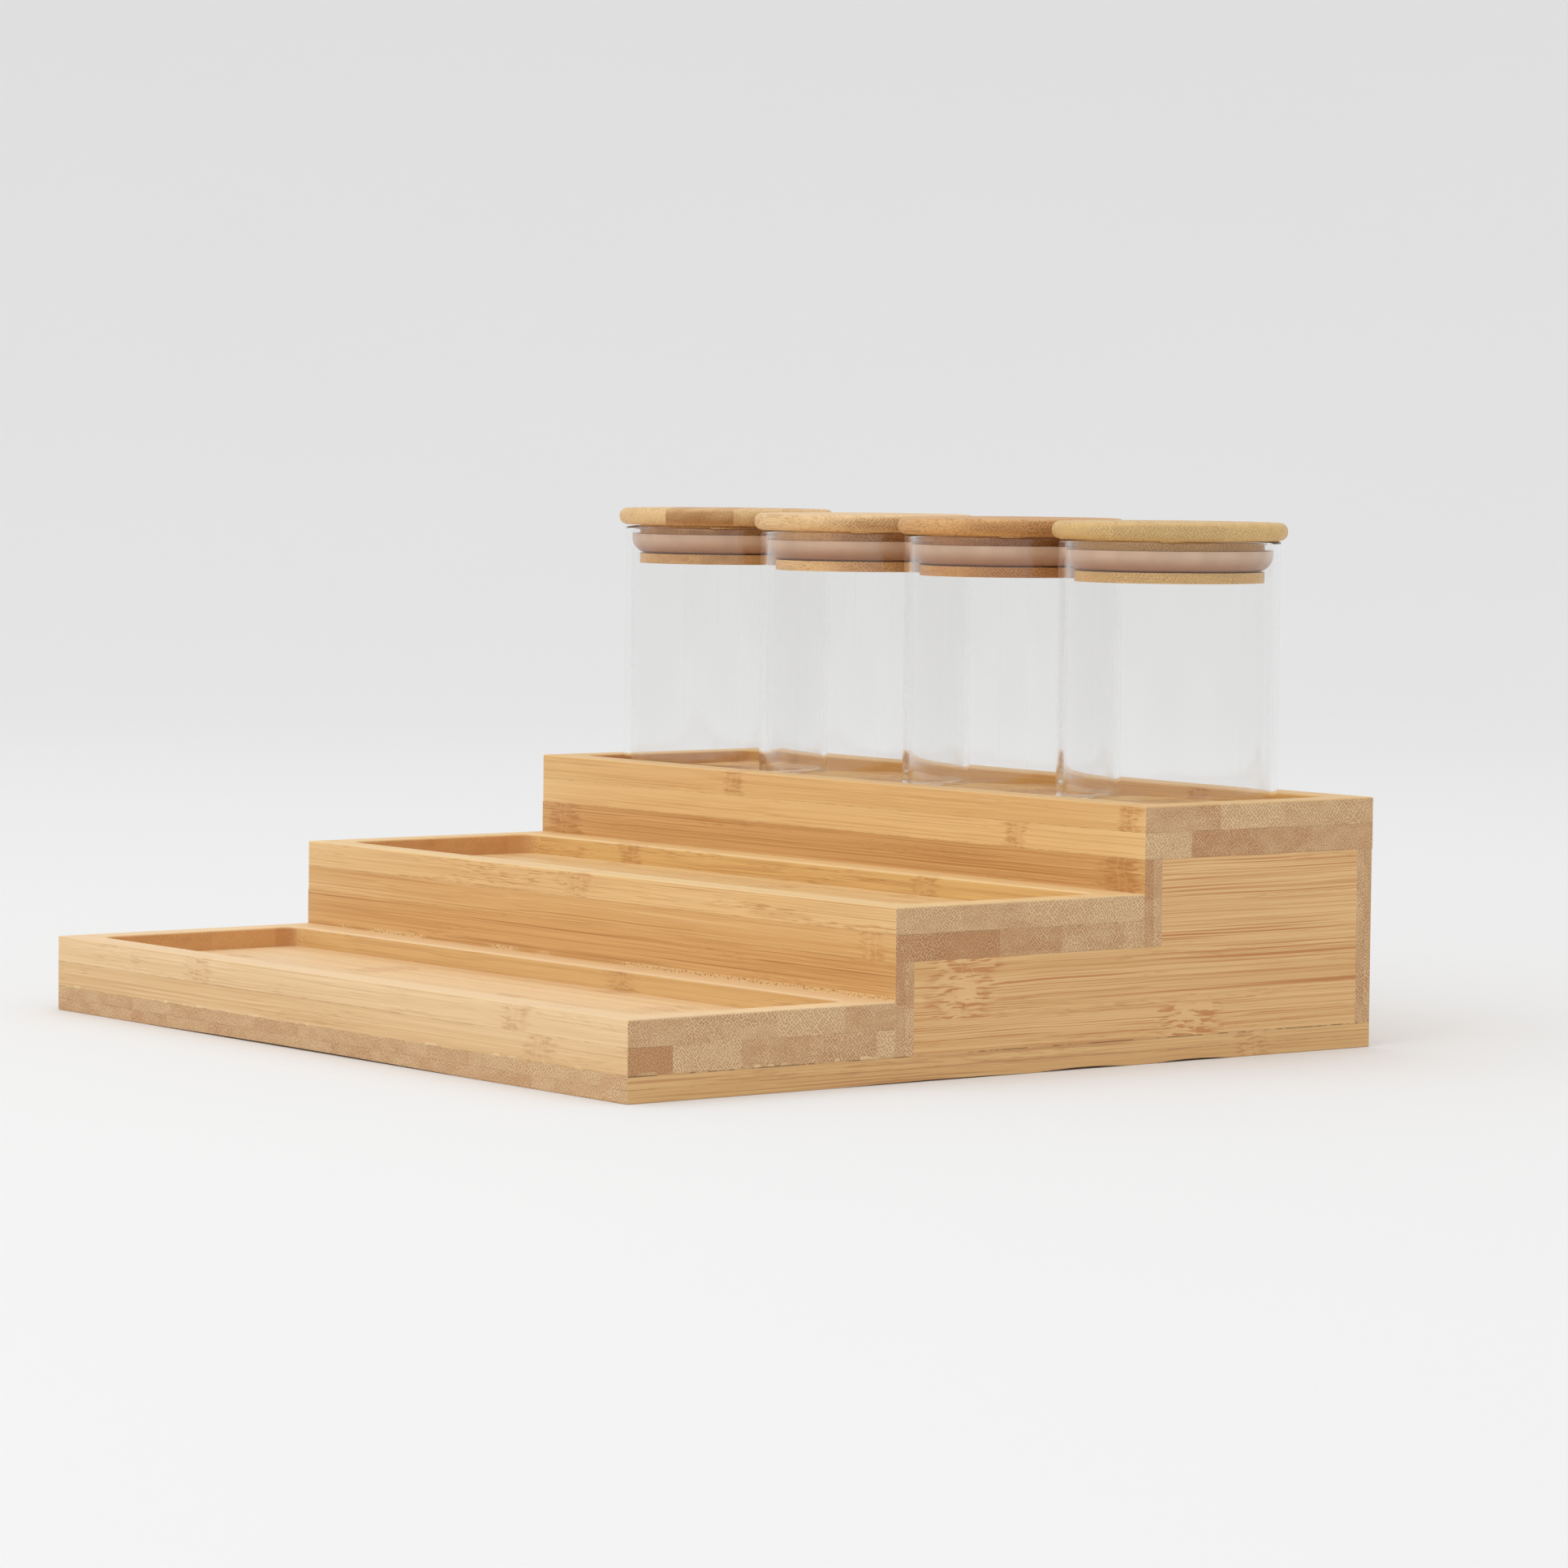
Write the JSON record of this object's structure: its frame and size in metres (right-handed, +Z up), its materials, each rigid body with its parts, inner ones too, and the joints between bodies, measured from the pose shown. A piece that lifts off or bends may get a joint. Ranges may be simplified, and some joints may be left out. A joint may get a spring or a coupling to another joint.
{
  "type": "stepped spice rack",
  "caption": "Stepped bamboo spice rack with three pocketed tiers, holding round glass jars whose bamboo lids plug in with silicone seals.",
  "frame": {"origin": "middle of the rack's footprint, on the surface it stands on", "axes": "+X runs along the tiers, -Y is the front where the lowest tier is, +Z is up"},
  "size_m": [0.297, 0.2686, 0.1537],
  "materials": {
    "bamboo_board": "sanded and lightly oiled laminated bamboo, long grain on the faces and dotted end grain on the cut ends",
    "turned_bamboo": "sanded turned bamboo",
    "clear_glass": "clear thin borosilicate",
    "silicone": "translucent taupe silicone, satin"
  },
  "bodies": {
    "rack": {"base_board": "bamboo_board", "tray_lower": "bamboo_board", "tray_middle": "bamboo_board", "tray_upper": "bamboo_board", "riser_lower": "bamboo_board", "riser_upper": "bamboo_board", "back_board": "bamboo_board", "side_panel_left": "bamboo_board", "side_panel_right": "bamboo_board"},
    "jar_1": {"jar_1_glass": "clear_glass"},
    "jar_2": {"jar_2_glass": "clear_glass"},
    "jar_3": {"jar_3_glass": "clear_glass"},
    "jar_4": {"jar_4_glass": "clear_glass"},
    "lid_1": {"lid_1": "turned_bamboo", "lid_1_seal": "silicone"},
    "lid_2": {"lid_2": "turned_bamboo", "lid_2_seal": "silicone"},
    "lid_3": {"lid_3": "turned_bamboo", "lid_3_seal": "silicone"},
    "lid_4": {"lid_4": "turned_bamboo", "lid_4_seal": "silicone"}
  },
  "joints": [
    {"name": "jar_1_lift", "type": "slide", "parent": "rack", "child": "jar_1", "axis": [0, 0, 1], "range_m": [0, 0.1]},
    {"name": "jar_2_lift", "type": "slide", "parent": "rack", "child": "jar_2", "axis": [0, 0, 1], "range_m": [0, 0.1]},
    {"name": "jar_3_lift", "type": "slide", "parent": "rack", "child": "jar_3", "axis": [0, 0, 1], "range_m": [0, 0.1]},
    {"name": "jar_4_lift", "type": "slide", "parent": "rack", "child": "jar_4", "axis": [0, 0, 1], "range_m": [0, 0.1]},
    {"name": "lid_1_lift", "type": "slide", "parent": "jar_1", "child": "lid_1", "axis": [0, 0, 1], "range_m": [0, 0.04]},
    {"name": "lid_2_lift", "type": "slide", "parent": "jar_2", "child": "lid_2", "axis": [0, 0, 1], "range_m": [0, 0.04]},
    {"name": "lid_3_lift", "type": "slide", "parent": "jar_3", "child": "lid_3", "axis": [0, 0, 1], "range_m": [0, 0.04]},
    {"name": "lid_4_lift", "type": "slide", "parent": "jar_4", "child": "lid_4", "axis": [0, 0, 1], "range_m": [0, 0.04]}
  ]
}
